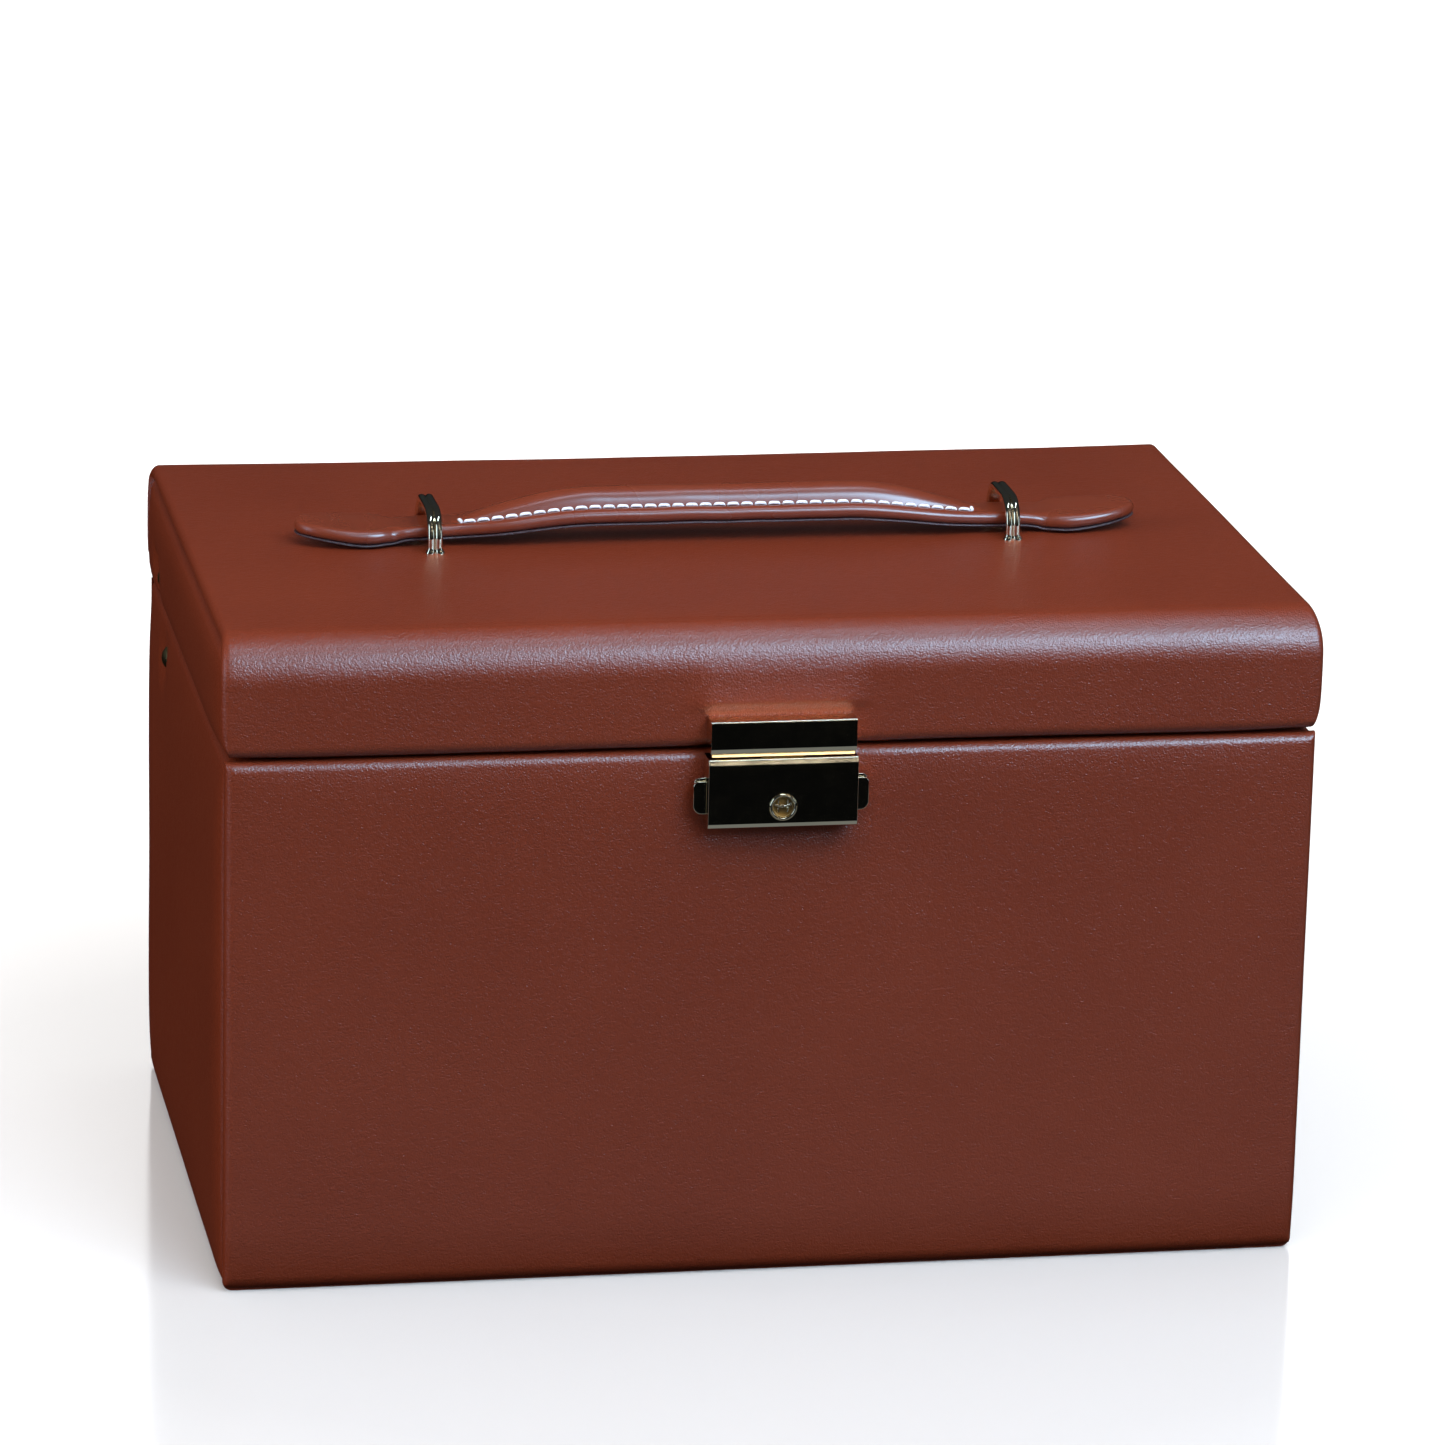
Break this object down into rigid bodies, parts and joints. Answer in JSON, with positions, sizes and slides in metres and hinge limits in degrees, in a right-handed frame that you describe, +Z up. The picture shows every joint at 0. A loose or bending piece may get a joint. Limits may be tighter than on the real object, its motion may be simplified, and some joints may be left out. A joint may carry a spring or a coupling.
{
  "type": "leather jewellery case",
  "caption": "Box-shaped padded leather jewellery case with a hinged lid, push-tab lock, strap handle in two metal loops, folding lid stays and a lift-out tray.",
  "frame": {"origin": "centre of the case's footprint, on the surface it stands on", "axes": "+X to the right as seen from the front, -Y to the front with the lock, +Z up"},
  "size_m": [0.263, 0.1802, 0.1728],
  "materials": {
    "case_leather": "padded cognac leather, fine grain, soft sheen",
    "strap_leather": "smooth cognac leather, stitched",
    "board": "fibre board",
    "velvet": "short pile velvet",
    "felt": "felt",
    "gold_brass": "polished pale gold plate",
    "steel": "bright zinc plate",
    "thread": "waxed linen thread",
    "mirror_glass": "polished"
  },
  "bodies": {
    "base": {"base_back_board": "board", "base_back_leather": "case_leather", "base_bottom_cover": "felt", "base_dividers": "velvet", "base_floor_board": "board", "base_floor_lining": "velvet", "base_front_board": "board", "base_front_leather": "case_leather", "base_left_board": "board", "base_left_leather": "case_leather", "base_right_board": "board", "base_right_leather": "case_leather", "base_stay_rivets": "gold_brass", "base_wall_lining": "velvet", "hinge_lower_leaves": "gold_brass", "hinge_lower_screws": "steel", "hinge_pins": "steel", "keyhole_ring": "gold_brass", "lock_back_plate": "steel", "lock_housing": "gold_brass", "lock_rivets": "gold_brass", "tab_spring_left": "steel", "tab_spring_right": "steel", "tray_ledges": "velvet"},
    "lid": {"handle_loop_left": "gold_brass", "handle_loop_nuts": "steel", "handle_loop_right": "gold_brass", "hasp_plate": "gold_brass", "hasp_rivets": "gold_brass", "hasp_tongue": "gold_brass", "hinge_upper_leaves": "gold_brass", "hinge_upper_screws": "steel", "lid_back_board": "board", "lid_front_board": "board", "lid_left_board": "board", "lid_left_leather": "case_leather", "lid_right_board": "board", "lid_right_leather": "case_leather", "lid_stay_rivets": "gold_brass", "lid_top_board": "board", "lid_wall_lining": "velvet", "lid_wrap_leather": "case_leather", "mirror": "mirror_glass", "mirror_panel": "velvet"},
    "handle": {"handle_strap": "strap_leather", "handle_spine_pad": "strap_leather"},
    "tray": {"tray_floor": "velvet", "tray_long_walls": "velvet", "tray_end_walls": "velvet", "tray_dividers": "velvet", "ring_rolls": "velvet"},
    "stay_lower": {"stay_lower_link_left": "gold_brass", "stay_lower_link_right": "gold_brass", "stay_middle_rivets": "gold_brass"},
    "stay_upper": {"stay_upper_link_left": "gold_brass", "stay_upper_link_right": "gold_brass"},
    "release_tab_left": {"release_tab_left": "gold_brass"},
    "release_tab_right": {"release_tab_right": "gold_brass"},
    "lock_cylinder": {"lock_cylinder": "steel"}
  },
  "joints": [
    {"name": "lid_hinge", "type": "hinge", "parent": "base", "child": "lid", "pos_m": [0, 0.086, 0.131], "axis": [-1, 0, 0], "range_deg": [0, 95]},
    {"name": "stay_lower_turn", "type": "hinge", "parent": "base", "child": "stay_lower", "pos_m": [0, 0.0432, 0.1204], "axis": [-1, 0, 0], "range_deg": [0, 95]},
    {"name": "stay_upper_turn", "type": "hinge", "parent": "lid", "child": "stay_upper", "pos_m": [0, 0.053, 0.1383], "axis": [1, 0, 0], "range_deg": [0, 95]},
    {"name": "tray_lift", "type": "slide", "parent": "base", "child": "tray", "axis": [0, 0, 1], "range_m": [0, 0.015]},
    {"name": "handle_lift", "type": "slide", "parent": "lid", "child": "handle", "axis": [0, 0, 1], "range_m": [0, 0.002]},
    {"name": "release_left_push", "type": "slide", "parent": "base", "child": "release_tab_left", "axis": [1, 0, 0], "range_m": [0, 0.0025], "stiffness_N_per_m": 300, "springref_m": -0.002, "deforming": ["tab_spring_left"]},
    {"name": "release_right_push", "type": "slide", "parent": "base", "child": "release_tab_right", "axis": [-1, 0, 0], "range_m": [0, 0.0025], "stiffness_N_per_m": 300, "springref_m": -0.002, "deforming": ["tab_spring_right"]},
    {"name": "lock_turn", "type": "hinge", "parent": "base", "child": "lock_cylinder", "pos_m": [0, -0.0885, 0.1184], "axis": [0, 1, 0], "range_deg": [0, 90]}
  ],
  "couplings": [
    {"joint": "stay_lower_turn", "follows": "lid_hinge", "ratio": 1},
    {"joint": "stay_upper_turn", "follows": "lid_hinge", "ratio": 1}
  ]
}
